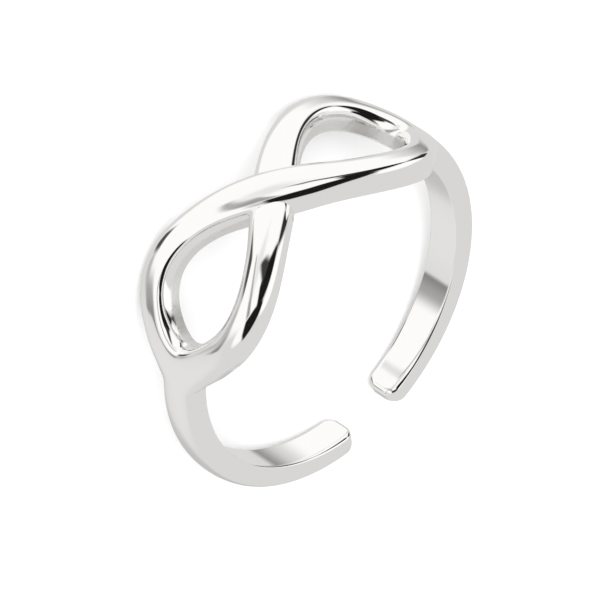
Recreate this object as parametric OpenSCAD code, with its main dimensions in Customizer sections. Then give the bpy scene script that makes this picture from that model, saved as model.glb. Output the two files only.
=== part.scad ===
// Open infinity ring: a cast band with a gap at the back and a figure of eight in front.
// It lies on its side: the finger hole's axis is nearly upright, the figure of eight faces -Y
// and the gap faces +Y. Angles run round the ring from the crossing, positive towards +X,
// and heights are measured outwards from the wall of the finger hole.

/* [Band] */
// Diameter of the finger hole
bore_d = 17; // [15.5:0.1:19]
// Width of the band along the finger
band_w = 1.9; // [1.7:0.05:2.2]
// Thickness of the band at the middle of its rounded outer face
band_t = 1.36; // [1.25:0.01:1.6]
// Height of the band's straight side faces
band_wall_h = 0.98; // [0.7:0.02:1.1]
// Angle from the middle of the back to the tip on the +X side
gap_right = 10.4; // [7:0.1:20]
// Angle from the middle of the back to the tip on the -X side
gap_left = 6.4; // [6:0.1:20]
// Radius of the tips' rounded corners, seen from outside
tip_r = 0.66; // [0.3:0.02:0.8]

/* [Figure of eight] */
// Angle from the crossing to the middle of the strand at the end of a loop
loop_reach = 59.9; // [57:0.1:62]
// Half width of a loop, to the middle of the strand
loop_half = 2.78; // [2.5:0.02:3]
// How much fuller a loop is on the side of the crossing
loop_fullness = 0.175; // [0.12:0.005:0.2]
// Width of the strand along the loops
strand_w = 1.74; // [1.5:0.02:1.9]
// How much wider the strand is at the crossing
cross_widening = 0.36; // [0:0.02:0.5]
// Thickness of the strand at the top of its dome
strand_t = 1.47; // [1.4:0.01:1.7]
// Height of the strand's straight side walls
strand_wall_h = 0.56; // [0.4:0.02:0.9]
// How far the upper strand rises at the crossing
over_rise = 0.14; // [0.06:0.02:0.4]
// How far the lower strand dips at the crossing
under_dip = 0.3; // [0.1:0.02:0.4]
// Distance from the crossing within which the strands rise, dip and widen
cross_run = 5; // [4:0.1:6]

/* [Shoulders] */
// Angle at which a shoulder has narrowed to the band
shoulder_end = 68.2; // [67:0.2:70]
// Half width that a shoulder gains for each degree towards the crossing
shoulder_slope = 0.146; // [0.12:0.002:0.15]

/* [Hidden] */
silver = [0.83, 0.83, 0.82];

bore_r = bore_d / 2;
bore_cut_h = 20;
bore_fn = 180;
strand_steps = 52;
arm_steps = 32;
dome_steps = 6;
// Each solid starts inside the finger hole, at a depth of its own, and the hole cuts it back
over_depth = 0.4;
under_depth = 0.6;
arm_depth = 0.8;
// Each half of the band starts inside the metal at the end of a loop
arm_start = 58.6;
// Share of half the width over which a dome rises, and how blunt the dome is
dome_share = 0.96;
dome_power = 2.1;
// How much thinner the band gets at the very tip
tip_drop = 0.3;

// A point from its angle, its place along the finger and its height
function wrapped(angle, z, h) = [(bore_r + h) * sin(angle), -(bore_r + h) * cos(angle), z];
function as_degrees(along) = along / bore_r * 180 / PI;
function as_length(degrees) = degrees * PI / 180 * bore_r;

// Middle line of a strand laid flat: along the ring, and along the finger
function line(u, side) = [
    as_length(loop_reach) * sin(u),
    side * loop_half * (sin(2 * u) + loop_fullness * sin(4 * u))
];
function line_normal(u, side) =
    let (step = line(u + 0.5, side) - line(u - 0.5, side))
    [-step[1], step[0]] / norm(step);

// 1 at the crossing, falling to 0 along the strand
function near_crossing(place) = pow(max(0, 1 - pow(norm(place) / cross_run, 2)), 3);
function half_width(place) = (strand_w + cross_widening * near_crossing(place)) / 2;

// Places across a strand and heights: side wall, dome and side wall
function dome_side(half, wall, top) = [for (i = [0 : dome_steps])
    let (x = 1 - cos(90 * i / dome_steps))
    [-half + x * half * dome_share, wall + (top - wall) * sqrt(1 - pow(1 - x, dome_power))]];
function profile(half, wall, top, depth) =
    let (rise = dome_side(half, wall, top))
    concat(
        [[-half, -depth]],
        rise,
        [for (i = [dome_steps : -1 : 0]) [-rise[i][0], rise[i][1]]],
        [[half, -depth]]
    );

// One strand of the figure of eight, from the end of one loop to the end of the other
function strand(side, lift, depth) = [for (i = [0 : strand_steps])
    let (
        u = 90 * (2 * i / strand_steps - 1),
        place = line(u, side),
        across = line_normal(u, side),
        up = lift * near_crossing(place)
    )
    [for (p = profile(half_width(place), strand_wall_h + up, strand_t + up, depth))
        wrapped(as_degrees(place[0] + across[0] * p[0]), place[1] + across[1] * p[0], p[1])]];

// One half of the band, with its shoulder at the loop and its rounded tip at the gap
function arm(side, gap) = [for (i = [0 : arm_steps])
    let (
        tip = 180 - gap,
        angle = arm_start + (tip - arm_start) * sin(90 * i / arm_steps),
        shoulder = max(0, shoulder_end - angle) * shoulder_slope,
        tip_cut = tip_r - min(tip_r, as_length(tip - angle)),
        corner = tip_r - sqrt(tip_r * tip_r - tip_cut * tip_cut),
        drop = tip_drop * pow(tip_cut / tip_r, 2),
        half = band_w / 2 + shoulder - corner
    )
    [for (p = profile(half, band_wall_h - drop, band_t - drop, arm_depth))
        wrapped(side * angle, side * p[0], p[1])]];

// Closed solid through a row of sections that all have the same number of points
module skin_through(sections) {
    n = len(sections[0]);
    last = (len(sections) - 1) * n;
    walls = [for (i = [0 : n : last - n], j = [0 : n - 1])
        let (a = i + j, b = i + (j + 1) % n)
        each [[a, b, a + n], [b, b + n, a + n]]];
    // Flat ends, in strips from side to side
    ends = [for (j = [0 : n / 2 - 2])
        let (k = n - 1 - j)
        each [[k, k - 1, j + 1, j], [last + j, last + j + 1, last + k - 1, last + k]]];
    polyhedron(points = [for (section = sections) each section], faces = concat(walls, ends));
}

over_strand = strand(-1, over_rise, over_depth);
under_strand = strand(1, -under_dip, under_depth);
right_arm = arm(1, gap_right);
left_arm = arm(-1, gap_left);

// The ring rests on the lower rims of both loops and on the lower edge of its tips
tip_contact = (bore_r + band_wall_h) * cos(gap_right);
rim_places = [for (u = [20 : 1 : 60]) line(u, 1) + line_normal(u, 1) * half_width(line(u, 1))];
rest_tilt = max([for (p = rim_places)
    atan((p[1] - band_w / 2) / (bore_r * cos(as_degrees(p[0])) + tip_contact))]);
rest_lift = band_w / 2 * cos(rest_tilt) + tip_contact * sin(rest_tilt);
// The origin is midway between the front of the crossing and the back of the band
function reach(sections) = [for (section = sections, p = section)
    p[1] * cos(rest_tilt) + p[2] * sin(rest_tilt)];
rest_y = -(min(reach(over_strand)) + max(reach(left_arm))) / 2;

module infinity_ring() {
    color(silver)
    translate([0, rest_y, rest_lift])
    rotate([-rest_tilt, 0, 0])
    difference() {
        union() {
            skin_through(over_strand);
            skin_through(under_strand);
            skin_through(right_arm);
            skin_through(left_arm);
        }
        cylinder(r = bore_r, h = bore_cut_h, center = true, $fn = bore_fn);
    }
}

infinity_ring();
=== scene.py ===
from math import cos, pi, radians, sin

import bmesh
import bpy
import numpy as np
from mathutils import Matrix, Vector


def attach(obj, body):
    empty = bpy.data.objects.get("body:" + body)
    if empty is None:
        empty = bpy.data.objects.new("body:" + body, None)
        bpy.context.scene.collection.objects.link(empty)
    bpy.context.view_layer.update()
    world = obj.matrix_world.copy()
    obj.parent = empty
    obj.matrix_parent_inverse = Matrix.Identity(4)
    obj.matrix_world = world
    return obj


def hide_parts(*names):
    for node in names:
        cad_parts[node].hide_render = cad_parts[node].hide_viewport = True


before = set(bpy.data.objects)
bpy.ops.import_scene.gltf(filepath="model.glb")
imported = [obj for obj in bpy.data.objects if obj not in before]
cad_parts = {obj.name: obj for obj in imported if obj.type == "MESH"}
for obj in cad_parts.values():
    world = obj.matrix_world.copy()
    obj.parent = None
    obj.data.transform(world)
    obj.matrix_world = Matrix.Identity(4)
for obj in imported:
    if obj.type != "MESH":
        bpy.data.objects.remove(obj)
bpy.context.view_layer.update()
mm = 0.001


# The ring, thought of as laid flat: s runs round the finger, z along it, and heights go out from the
# finger hole. Sizes are in mm and angles in degrees, as in the CAD model.

ringDict = {
    "boreRadius": 8.5,
    "bandWidth": 1.9,
    "bandTop": 1.36,              # thickness at the middle of the band
    "bandWall": 0.98,             # height of its side faces
    "gapRight": 10.4,             # from the middle of the back to each tip
    "gapLeft": 6.4,
    "tipRadius": 0.66,
    "tipDrop": 0.3,               # how much thinner the band gets at the very tip
    "tipRun": 1.1,                # length over which the rows close in on a tip's rounded end
    "loopReach": 59.9,            # from the crossing to the middle of the strand at the end of a loop
    "loopHalf": 2.78,
    "loopFullness": 0.175,        # how much fuller a loop is towards the crossing
    "strandWidth": 1.74,
    "crossWidening": 0.36,        # the strands get wider towards the crossing
    "strandTop": 1.47,
    "strandWall": 0.56,
    "overRise": 0.14,             # where one rises and the other dips
    "underDip": 0.3,
    "crossRun": 5.0,              # within this distance
    "shoulderStart": 59.8,
    "shoulderEnd": 68.2,
    "shoulderSlope": 0.146,       # half width gained for each degree
    "shoulderSoftness": 0.12,
    "bandBlend": (58, 70),        # between these the strand's heights turn into the band's
    "rimRadius": 0.1,             # rounded edges at the finger hole
    "rimClear": (1.6, 2.8),       # they grow to that radius between these distances from the crossing
    "rimLeast": 0.02,             # from this share of it
    "tipRimRadius": 0.3,          # and get rounder still towards the tips
    "tipRimRun": (6.5, 0.2),      # between these distances from the tip
    "underClearance": 0.02,       # keeps the lower strand's inner face under the upper one's
}

# How sharply the domes turn over, from a power of 2 for a round one up
edgeDict = {
    "plain": 2.1,
    "crisp": 7.0,                 # the edges that face up in the photo
    "soft": 2.0,                  # but for the lower strand's edge on the right
    "crossing": 3.0,
    "loopEnd": 4.5,               # rims of the loops' holes, at the loops' ends
    "fromCrossing": (0.8, 3.2),   # lengths along the ring between which one turns into the next
    "toLoopEnd": (6.6, 7.9),
    "pastLoopEnd": (8.3, 10.0),
    "outside": (5.8, 7.8),
}

# The rows of the mesh, from the crossing to a tip
rowDict = {
    "fanStart": 58.0,             # degrees along the strand where they start to fan round the end of a loop
    "bandStart": 72.0,            # degrees round the ring where they stand square across the band
    "fanShare": 0.42,             # how much of the outside between the two is the fan's
    "strandRows": 120,
    "fanRows": 26,
    "seamRows": 34,
    "bandRows": 90,
    "tipRows": 20,
    "columns": 28,
    "rimPoints": 1801,            # points of the lines that the rows end on
    "outsidePoints": 400,
    "outsideEnd": 60.5,           # degrees along the strand where its outside has met the shoulder
    "cornerPoints": 60,
    "wallInset": 0.03,            # the walls' end rows, from their edges
}

# How the ring lies, as in the CAD model: the tilt of its axis, and the middle of the hole
restDict = {"tilt": 10.0431, "lift": 2.56149, "forward": 0.224984}


def toLength(angle):
    return radians(angle) * ringDict["boreRadius"]


def smoothStep(low, high, x):
    t = np.clip((x - low) / (high - low), 0, 1)
    return t * t * (3 - 2 * t)


def nearCrossing(flat):
    away = np.hypot(flat[..., 0], flat[..., 1]) / ringDict["crossRun"]
    return np.clip(1 - away ** 2, 0, 1) ** 3


def strandHalf(flat):
    return (ringDict["strandWidth"] + ringDict["crossWidening"] * nearCrossing(flat)) / 2


def strandEdge(degreesAlong, side):
    # the edges of the upper strand, from the crossing (0) to the end of the right loop (90)
    u = np.radians(degreesAlong)
    reach, half, full = toLength(ringDict["loopReach"]), ringDict["loopHalf"], ringDict["loopFullness"]
    middle = np.stack([reach * np.sin(u), -half * (np.sin(2 * u) + full * np.sin(4 * u))], -1)
    along = np.stack([reach * np.cos(u), -half * (2 * np.cos(2 * u) + 4 * full * np.cos(4 * u))], -1)
    along /= np.linalg.norm(along, axis=-1, keepdims=True)
    across = np.stack([-along[..., 1], along[..., 0]], -1)
    return middle + across * (side * strandHalf(middle))[..., None]


def lengths(line):
    return np.concatenate([[0], np.cumsum(np.linalg.norm(np.diff(line, axis=0), axis=1))])


def pointsAt(line, places):
    run = lengths(line)
    return np.stack([np.interp(places, run, line[:, 0]), np.interp(places, run, line[:, 1])], -1)


def softened(line, spread, step=0.02):
    even = pointsAt(line, np.arange(0, lengths(line)[-1], step))
    count = int(3 * spread / step)
    weights = np.exp(-0.5 * (np.arange(-count, count + 1) * step / spread) ** 2)
    weights /= weights.sum()
    soft = even.copy()
    for axis in range(2):
        soft[count:-count, axis] = np.convolve(even[:, axis], weights, "valid")
    return soft


def distanceTo(line, flat):
    # shortest way from each point to a line of straight steps
    points = flat.reshape(-1, 2)
    start, step = line[:-1], np.diff(line, axis=0)
    square = (step ** 2).sum(1) + 1e-18
    out = np.empty(len(points))
    batch = 2000                                   # keeps the arrays small
    for first in range(0, len(points), batch):
        away = points[first:first + batch, None] - start[None]
        share = np.clip((away * step).sum(2) / square, 0, 1)
        out[first:first + batch] = np.sqrt(((away - share[..., None] * step) ** 2).sum(2).min(1))
    return out.reshape(flat.shape[:-1])


def halfRows(gap):
    # rows of points from the crossing to one tip, each running to the outside from the rim of the loop's
    # hole or, past it, from the middle of the band
    d, row = ringDict, rowDict
    half, corner = d["bandWidth"] / 2, d["tipRadius"]
    tip = toLength(180 - gap)
    tipStart = tip - d["tipRun"]
    turn = np.linspace(0, pi / 2, row["cornerPoints"])

    rimDegrees = np.linspace(0, 90, row["rimPoints"])
    rim = strandEdge(rimDegrees, 1)
    strandOutside = strandEdge(np.linspace(0, row["outsideEnd"], row["outsidePoints"]), -1)
    angles = np.linspace(d["shoulderStart"], d["shoulderEnd"], row["cornerPoints"])
    slope = np.stack([np.radians(angles) * d["boreRadius"],
                      -half - (d["shoulderEnd"] - angles) * d["shoulderSlope"]], -1)
    outside = softened(np.concatenate([strandOutside, slope, [[tipStart, -half]]]), d["shoulderSoftness"])
    outside = np.concatenate([outside, [[tipStart + 0.1, -half]]])    # past where the last row starts
    roundEnd = np.stack([tip - corner + corner * np.sin(turn), -half + corner - corner * np.cos(turn)], -1)
    outline = np.concatenate([outside, roundEnd, [[tip, 0]]])
    rimLength, outLength = lengths(rim), lengths(outside)

    share = (1 - np.cos(np.linspace(0, pi, row["columns"] + 1))) / 2
    places = []                                    # (along the rim and seam, along the outside)
    for u in np.linspace(0, row["fanStart"], row["strandRows"] + 1):
        nearest = np.argmin(np.linalg.norm(outside - strandEdge(u, -1), axis=1))
        places.append([np.interp(u, rimDegrees, rimLength), outLength[nearest]])
    fanFrom = places[-1][1]
    square = outLength[np.argmax(outside[:, 0] >= toLength(row["bandStart"]))]
    fanTo = fanFrom + row["fanShare"] * (square - fanFrom)
    for k in range(1, row["fanRows"] + 1):
        t = k / row["fanRows"]
        u = row["fanStart"] + (90 - row["fanStart"]) * t
        places.append([np.interp(u, rimDegrees, rimLength), fanFrom + (fanTo - fanFrom) * t])
    seamTo = toLength(row["bandStart"]) - rim[-1, 0]
    for k in range(1, row["seamRows"] + 1):
        t = k / row["seamRows"]
        places.append([rimLength[-1] + seamTo * t ** 2, fanTo + (square - fanTo) * t])
    bandTo = tipStart - toLength(row["bandStart"])
    for k in range(1, row["bandRows"] + 1):
        t = k / row["bandRows"] * bandTo
        places.append([rimLength[-1] + seamTo + t, square + t])
    places = np.array(places)
    inner = pointsAt(np.concatenate([rim, [[tip, 0]]]), places[:, 0])
    outer = pointsAt(outside, places[:, 1])
    rows = inner[:, None] + (outer - inner)[:, None] * share[None, :, None]

    z = -half * share                              # the last rows end on the tip's outline
    beyond = np.clip(-z - half + corner, 0, corner)
    tipLine = tip - corner + np.sqrt(corner ** 2 - beyond ** 2)
    for k in range(1, row["tipRows"] + 1):
        t = sin(pi / 2 * k / row["tipRows"])
        rows = np.concatenate([rows, np.stack([tipStart + (tipLine - tipStart) * t, z], -1)[None]])
    return rows, rim, outline


def makeSheet():
    # the upper strand with its half of the band at both ends, from tip to tip
    right, rim, rightOutline = halfRows(ringDict["gapRight"])
    left, _, leftOutline = halfRows(ringDict["gapLeft"])
    flat = np.concatenate([-left[::-1, ::-1], right[1:]])
    upperEdge = np.concatenate([-leftOutline[::-1], rim])
    lowerEdge = np.concatenate([-rim[::-1], rightOutline])
    toUpper, toLower = distanceTo(upperEdge, flat), distanceTo(lowerEdge, flat)
    toLower[-1], toUpper[0] = 0, 0                 # exactly, at the tips' ends
    return flat, toUpper, toLower, len(left) - 1


def dome(distance, half, power):
    return np.sqrt(1 - (1 - np.clip(distance / half, 0, 1)) ** power)


def blended(one, other, share):
    return one + (other - one) * share


def edgePower(s, left, right, holeSide):
    # holeSide is 1 for the edge beside the right loop's hole and -1 for the edge beside the left one's
    d, away = edgeDict, np.abs(s)
    own = blended(d["crossing"], np.where(s < 0, left, right), smoothStep(*d["fromCrossing"], away))
    atRim = blended(own, d["loopEnd"], smoothStep(*d["toLoopEnd"], away))
    atRim = blended(atRim, d["plain"], smoothStep(*d["pastLoopEnd"], away))
    outside = blended(own, d["plain"], smoothStep(*d["outside"], away))
    return np.where(holeSide * s > 0, atRim, outside)


def makeHeights(flat, toUpper, toLower, lift, clearance, upperPower, lowerPower):
    # heights of the inner face, of two lines near the ends of the side walls, and of the domed outer face
    d = ringDict
    s, near = np.abs(flat[..., 0]), nearCrossing(flat)
    band = smoothStep(*(toLength(angle) for angle in d["bandBlend"]), s)
    half = strandHalf(flat) * (1 - band) + d["bandWidth"] / 2 * band
    tip = np.where(flat[..., 0] > 0, toLength(180 - d["gapRight"]), toLength(180 - d["gapLeft"]))
    nearTip = np.clip(1 - (tip - s) / d["tipRadius"], 0, 1)
    sink = d["tipDrop"] * nearTip ** 2
    wall = d["strandWall"] * (1 - band) + d["bandWall"] * band + lift * near - sink
    top = d["strandTop"] * (1 - band) + d["bandTop"] * band + lift * near - sink
    outer = wall + (top - wall) * dome(toUpper, half, upperPower) * dome(toLower, half, lowerPower)

    away = np.hypot(flat[..., 0], flat[..., 1])
    start, end = d["rimClear"]
    rounding = d["rimRadius"] * np.clip((away - start) / (end - start), d["rimLeast"], 1)
    rounding = rounding + (d["tipRimRadius"] - d["rimRadius"]) * smoothStep(*d["tipRimRun"], tip - s)
    cut = np.clip(rounding - np.minimum(toUpper, toLower), 0, None)
    inner = rounding - np.sqrt(rounding ** 2 - cut ** 2) + clearance * near
    return [inner, inner + rowDict["wallInset"], wall - rowDict["wallInset"], outer]


def bent(flat, height, side):
    # from the flat layout to the ring as it lies
    angle, radius = flat[0] / ringDict["boreRadius"], ringDict["boreRadius"] + height
    place = Vector((radius * sin(angle), -radius * cos(angle), side * flat[1]))
    place.rotate(Matrix.Rotation(-radians(restDict["tilt"]), 3, "X"))
    return (place + Vector((0, restDict["forward"], restDict["lift"]))) * mm


def only(geometry, kind):
    return [part for part in geometry if isinstance(part, kind)]


def makeRing():
    flat, toUpper, toLower, middle = makeSheet()
    rows, columns = flat.shape[:2]
    seamAt = rowDict["strandRows"] + rowDict["fanRows"]
    twinLevel = 10                                 # sets the lower strand's copy apart until it is bent
    s, plain, crisp, soft = flat[..., 0], edgeDict["plain"], edgeDict["crisp"], edgeDict["soft"]
    overHeights = makeHeights(flat, toUpper, toLower, ringDict["overRise"], 0,
                              edgePower(s, crisp, crisp, 1), edgePower(s, plain, plain, -1))
    underHeights = makeHeights(flat, toUpper, toLower, -ringDict["underDip"], ringDict["underClearance"],
                               edgePower(s, plain, plain, 1), edgePower(s, crisp, soft, -1))

    bm = bmesh.new()
    rimWall = bm.verts.layers.float.new("rimWall")
    bmesh.ops.create_grid(bm, x_segments=rows - 1, y_segments=columns - 1, size=0.5)
    bmesh.ops.translate(bm, vec=(0.5, 0.5, 0), verts=bm.verts)
    bmesh.ops.scale(bm, vec=(rows - 1, columns - 1, 1), verts=bm.verts)
    region = bm.faces[:]
    for level in range(3):                         # two lines up the walls, and the outer face
        grown = bmesh.ops.extrude_face_region(bm, geom=region)["geom"]
        bmesh.ops.translate(bm, vec=(0, 0, 1), verts=only(grown, bmesh.types.BMVert))
        region = only(grown, bmesh.types.BMFace)

    def onSeam(vert):
        row, column = round(vert.co.x), round(vert.co.y)
        return (row >= middle + seamAt and column == 0) or (row <= middle - seamAt and column == columns - 1)

    # the halves of the band have no wall where they meet, and no face stays inside where an extrusion began
    hidden = [f for f in bm.faces if all(onSeam(v) for v in f.verts)
              or all(round(v.co.z) == 1 for v in f.verts) or all(round(v.co.z) == 2 for v in f.verts)]
    bmesh.ops.delete(bm, geom=hidden, context="FACES")

    twin = bmesh.ops.duplicate(bm, geom=bm.verts[:] + bm.edges[:] + bm.faces[:])["geom"]
    bmesh.ops.translate(bm, vec=(0, 0, twinLevel), verts=only(twin, bmesh.types.BMVert))
    for vert in bm.verts:
        row, column, level = (round(c) for c in vert.co)
        under, level = level >= twinLevel, level % twinLevel
        atRim = ((column == 0 and middle <= row <= middle + seamAt)
                 or (column == columns - 1 and middle - seamAt <= row <= middle))
        vert[rimWall] = 1.0 if atRim else 0.0
        heights = underHeights if under else overHeights
        vert.co = bent(flat[row, column], heights[level][row, column], -1 if under else 1)
    bmesh.ops.remove_doubles(bm, verts=bm.verts, dist=2e-8)    # joins the two along the seams
    bmesh.ops.recalc_face_normals(bm, faces=bm.faces)
    for face in bm.faces:
        face.smooth = True
    mesh = bpy.data.meshes.new("infinityRingMesh")
    bm.to_mesh(mesh)
    bm.free()
    ring = bpy.data.objects.new("castRing", mesh)
    bpy.context.scene.collection.objects.link(ring)
    return ring


castRing = makeRing()
print("ring mesh made:", len(castRing.data.polygons), "faces")


# The silver

silverDict = {
    "colour": (0.94, 0.935, 0.925, 1),
    "castColour": (0.86, 0.85, 0.835, 1),     # the loops' inner walls, left as cast
    "roughness": (0.03, 0.06),
    "castRoughness": (0.3, 0.45),
    "castGrain": 5.0,                         # grains for each millimetre
    "castDepth": 0.035,
    "polishLines": (1.5, 1.5, 40.0),          # for each millimetre round the ring and along the finger
    "polishDepth": 0.0003,
    "waves": 0.32,                            # slow unevenness, for each millimetre
    "waveDepth": 0.012,
    "noiseRange": {"From_Min": 0.3, "From_Max": 0.7},
}


def makeSilver():
    d = silverDict
    material = bpy.data.materials.new("polishedSilver")
    material.use_nodes = True
    nodes, links = material.node_tree.nodes, material.node_tree.links
    shader = nodes["Principled BSDF"]
    shader.inputs["Metallic"].default_value = 1

    def add(kind, **inputs):
        node = nodes.new(kind)
        for name, value in inputs.items():
            socket = node.inputs[name.replace("_", " ")]
            if isinstance(value, bpy.types.NodeSocket):
                links.new(value, socket)
            else:
                socket.default_value = value
        return node

    place = add("ShaderNodeTexCoord").outputs["Object"]
    inMm = add("ShaderNodeMapping", Vector=place, Scale=(1000, 1000, 1000)).outputs["Vector"]
    upright = (radians(restDict["tilt"]), 0, 0)
    square = add("ShaderNodeMapping", Vector=inMm, Rotation=upright).outputs["Vector"]
    stretched = add("ShaderNodeMapping", Vector=square, Scale=d["polishLines"]).outputs["Vector"]
    grain = add("ShaderNodeTexNoise", Vector=inMm, Scale=d["castGrain"], Detail=5.0, Roughness=0.65)
    lines = add("ShaderNodeTexNoise", Vector=stretched, Scale=1.0, Detail=3.0, Roughness=0.6)
    waves = add("ShaderNodeTexNoise", Vector=inMm, Scale=d["waves"], Detail=1.0, Roughness=0.4)
    grain, lines, waves = (noise.outputs["Fac"] for noise in (grain, lines, waves))

    cast = nodes.new("ShaderNodeAttribute")
    cast.attribute_name = "rimWall"
    cast = cast.outputs["Fac"]

    polished = add("ShaderNodeMapRange", Value=lines, **d["noiseRange"],
                   To_Min=d["roughness"][0], To_Max=d["roughness"][1]).outputs["Result"]
    rough = add("ShaderNodeMapRange", Value=grain, **d["noiseRange"],
                To_Min=d["castRoughness"][0], To_Max=d["castRoughness"][1]).outputs["Result"]

    def blend(kind, low, high):
        # low on the polished faces and high on the cast ones
        mix = nodes.new("ShaderNodeMix")
        mix.data_type = kind
        names = {"FLOAT": ("Factor_Float", "A_Float", "B_Float", "Result_Float"),
                 "RGBA": ("Factor_Float", "A_Color", "B_Color", "Result_Color")}[kind]
        byName = {socket.identifier: socket for socket in mix.inputs}
        links.new(cast, byName[names[0]])
        for name, value in ((names[1], low), (names[2], high)):
            if isinstance(value, bpy.types.NodeSocket):
                links.new(value, byName[name])
            else:
                byName[name].default_value = value
        return {socket.identifier: socket for socket in mix.outputs}[names[3]]

    links.new(blend("FLOAT", polished, rough), shader.inputs["Roughness"])
    links.new(blend("RGBA", d["colour"], d["castColour"]), shader.inputs["Base Color"])

    bump = add("ShaderNodeBump", Strength=1.0, Distance=d["waveDepth"] * mm, Height=waves)
    bump = add("ShaderNodeBump", Strength=1.0, Distance=d["polishDepth"] * mm, Height=lines,
               Normal=bump.outputs["Normal"])
    bump = add("ShaderNodeBump", Strength=cast, Distance=d["castDepth"] * mm, Height=grain,
               Normal=bump.outputs["Normal"])
    links.new(bump.outputs["Normal"], shader.inputs["Normal"])
    return material


castRing.data.materials.append(makeSilver())
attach(castRing, "root")
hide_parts("infinity_ring")
print("silver made")


# The camera and the studio

cameraDict = {
    "place": (83.965, -194.424, 204.870),   # mm
    "aim": (0.787, -0.866, 2.458),
    "roll": 118.265,                        # the photo shows the ring upright
    "lens": 358.76,
}


def makeCamera():
    data = bpy.data.cameras.new("camera")
    data.lens = cameraDict["lens"]
    data.sensor_width = 36
    data.sensor_fit = "HORIZONTAL"
    data.clip_start, data.clip_end = 0.01, 10      # metres
    camera = bpy.data.objects.new("camera", data)
    place, aim = Vector(cameraDict["place"]) * mm, Vector(cameraDict["aim"]) * mm
    roll = Matrix.Rotation(radians(cameraDict["roll"]), 3, "Z")
    turn = (aim - place).to_track_quat("-Z", "Y").to_matrix() @ roll
    camera.matrix_world = Matrix.Translation(place) @ turn.to_4x4()
    bpy.context.scene.collection.objects.link(camera)
    bpy.context.scene.camera = camera


makeCamera()


studioDict = {
    "plain": 1.1,                        # lights the floor, together with the soft sun
    "sun": (2.2, 60, (14, -42)),         # strength, angle across, and place overhead
    "grey": 0.72,                        # what the metal mirrors where there is no card
    "tint": (1.0, 0.995, 0.985),
    "floorHalf": 2,                      # metres
    "floorColour": (0.9, 0.9, 0.9, 1),
    # round cards: brightness, where it hangs, radius and softness of its rim
    # places are in degrees from straight up, towards +X and towards +Y
    "round": [
        (0.8, (112, 36), 22, 18),
        (0.55, (2, 128), 18, 14),
        (1.04, (-15, -84), 74, 8),
        (1.04, (49, -16), 22, 5),
    ],
    # straight-edged cards: brightness, corners, and the softness of all edges or of each
    "straight": [
        (0.85, [(-30, -100), (20, -100), (30, -60), (-10, -75)], 9),
        (0.36, [(33, -30), (44, -30), (43, -64), (31, -66)], 3),
        (0.45, [(43, -60), (31, -60), (12, -110), (19, -113)], 3),
        (0.08, [(36, -150), (42, -126), (80, -96), (100, -106), (88, -132)], 3),
        (0.5, [(82, -98), (100, -106), (124, -70), (112, -48), (100, -50)], 5),
        (1.07, [(-64, 46), (-66, 26), (-40, 2), (-8, 4), (2, 20), (-22, 30)], 3),
        (0.01, [(12, -16), (3, -42), (-22, -40), (-50, -10), (-54, 7), (-38, 3), (4, 5)], 3),
        (0.05, [(3, -78), (-12, -68), (-28, -34), (-4, -34)], 4),
        (0.01, [(-2, -18), (18, -23), (28, -29), (43, -31), (47, 0), (38, 19), (28, 17), (8, 14),
                (-10, 3)], 3),
        (0.03, [(-50, 0), (-57, 18), (-66, 38), (-94, 36), (-98, 8), (-72, -2)], 3),
        (0.25, [(107, -33), (119, -37), (110, -58), (98, -53)], [1.5, 3, 9, 4]),
        (0.3, [(-104, 42), (-126, 42), (-130, 12), (-104, 12)], [4, 3, 10, 4]),
    ],
}


def overhead(x, y):
    # the direction of a place given in degrees from straight up
    away, turn = radians(np.hypot(x, y)), np.arctan2(x, y)
    return Vector((sin(away) * sin(turn), sin(away) * cos(turn), cos(away)))


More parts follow.
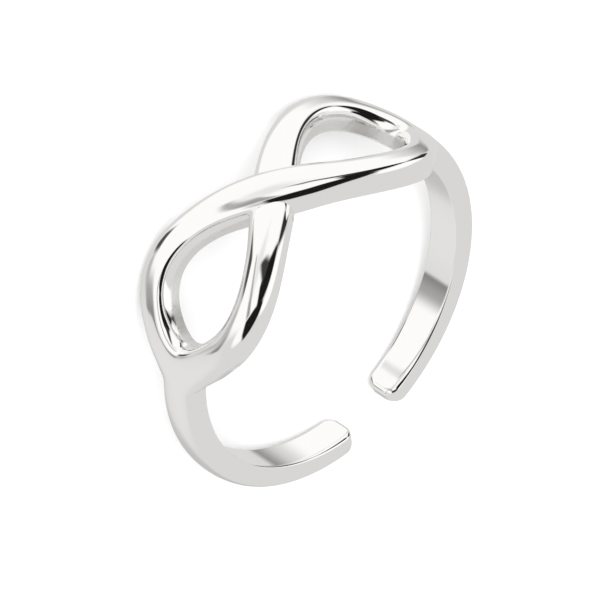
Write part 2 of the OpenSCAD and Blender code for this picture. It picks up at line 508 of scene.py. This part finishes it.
def makeStudio():
    d = studioDict
    world = bpy.data.worlds.new("studio")
    world.use_nodes = True
    nodes, links = world.node_tree.nodes, world.node_tree.links
    way = nodes.new("ShaderNodeTexCoord").outputs["Generated"]

    def past(facing, low, high):
        # 0 below low and 1 above high, measured along facing
        along = nodes.new("ShaderNodeVectorMath")
        along.operation = "DOT_PRODUCT"
        links.new(way, along.inputs[0])
        along.inputs[1].default_value = facing
        ramp = nodes.new("ShaderNodeMapRange")
        ramp.interpolation_type = "SMOOTHSTEP"
        links.new(along.outputs["Value"], ramp.inputs["Value"])
        ramp.inputs["From Min"].default_value = low
        ramp.inputs["From Max"].default_value = high
        return ramp.outputs["Result"]

    def both(one, other):
        node = nodes.new("ShaderNodeMath")
        node.operation = "MULTIPLY"
        links.new(one, node.inputs[0])
        links.new(other, node.inputs[1])
        return node.outputs["Value"]

    def hang(glow, mask, brightness):
        mix = nodes.new("ShaderNodeMix")
        links.new(mask, mix.inputs[0])
        if glow is None:
            mix.inputs[2].default_value = d["grey"]
        else:
            links.new(glow, mix.inputs[2])
        mix.inputs[3].default_value = brightness
        return mix.outputs[0]

    glow = None
    for brightness, centre, radius, soft in d["round"]:
        mask = past(overhead(*centre), cos(radians(radius + soft)), cos(radians(radius - soft)))
        glow = hang(glow, mask, brightness)
    for brightness, corners, softness in d["straight"]:
        ways = [overhead(*corner) for corner in corners]
        middle = sum(ways, Vector())
        softness = softness if isinstance(softness, list) else [softness] * len(ways)
        mask = None
        for here, there, soft in zip(ways, ways[1:] + ways[:1], softness):
            facing = here.cross(there).normalized()
            facing *= 1 if facing.dot(middle) > 0 else -1
            edge = past(facing, -sin(radians(soft)), sin(radians(soft)))
            mask = edge if mask is None else both(mask, edge)
        glow = hang(glow, mask, brightness)

    plain = nodes["Background"]
    plain.inputs["Color"].default_value = (1, 1, 1, 1)
    plain.inputs["Strength"].default_value = d["plain"]
    mirrored = nodes.new("ShaderNodeBackground")
    mirrored.inputs["Color"].default_value = (*d["tint"], 1)
    links.new(glow, mirrored.inputs["Strength"])
    choose = nodes.new("ShaderNodeMixShader")
    links.new(nodes.new("ShaderNodeLightPath").outputs["Is Glossy Ray"], choose.inputs["Fac"])
    links.new(plain.outputs["Background"], choose.inputs[1])
    links.new(mirrored.outputs["Background"], choose.inputs[2])
    links.new(choose.outputs["Shader"], nodes["World Output"].inputs["Surface"])
    bpy.context.scene.world = world


def makeFloor():
    bm = bmesh.new()
    bmesh.ops.create_grid(bm, x_segments=1, y_segments=1, size=studioDict["floorHalf"])
    mesh = bpy.data.meshes.new("floorMesh")
    bm.to_mesh(mesh)
    bm.free()
    floor = bpy.data.objects.new("floor", mesh)
    bpy.context.scene.collection.objects.link(floor)
    material = bpy.data.materials.new("paleFloor")
    material.use_nodes = True
    shader = material.node_tree.nodes["Principled BSDF"]
    shader.inputs["Base Color"].default_value = studioDict["floorColour"]
    shader.inputs["Roughness"].default_value = 0.9
    shader.inputs["Specular IOR Level"].default_value = 0
    mesh.materials.append(material)
    floor.visible_glossy = False                   # the metal mirrors the cards alone


def makeSun():
    strength, across, place = studioDict["sun"]
    data = bpy.data.lights.new("softSun", "SUN")
    data.energy, data.angle = strength, radians(across)
    sun = bpy.data.objects.new("softSun", data)
    sun.matrix_world = overhead(*place).to_track_quat("Z", "Y").to_matrix().to_4x4()
    sun.visible_glossy = False
    bpy.context.scene.collection.objects.link(sun)


makeStudio()
makeSun()
makeFloor()
bpy.context.scene.view_settings.view_transform = "Standard"
print("studio made")
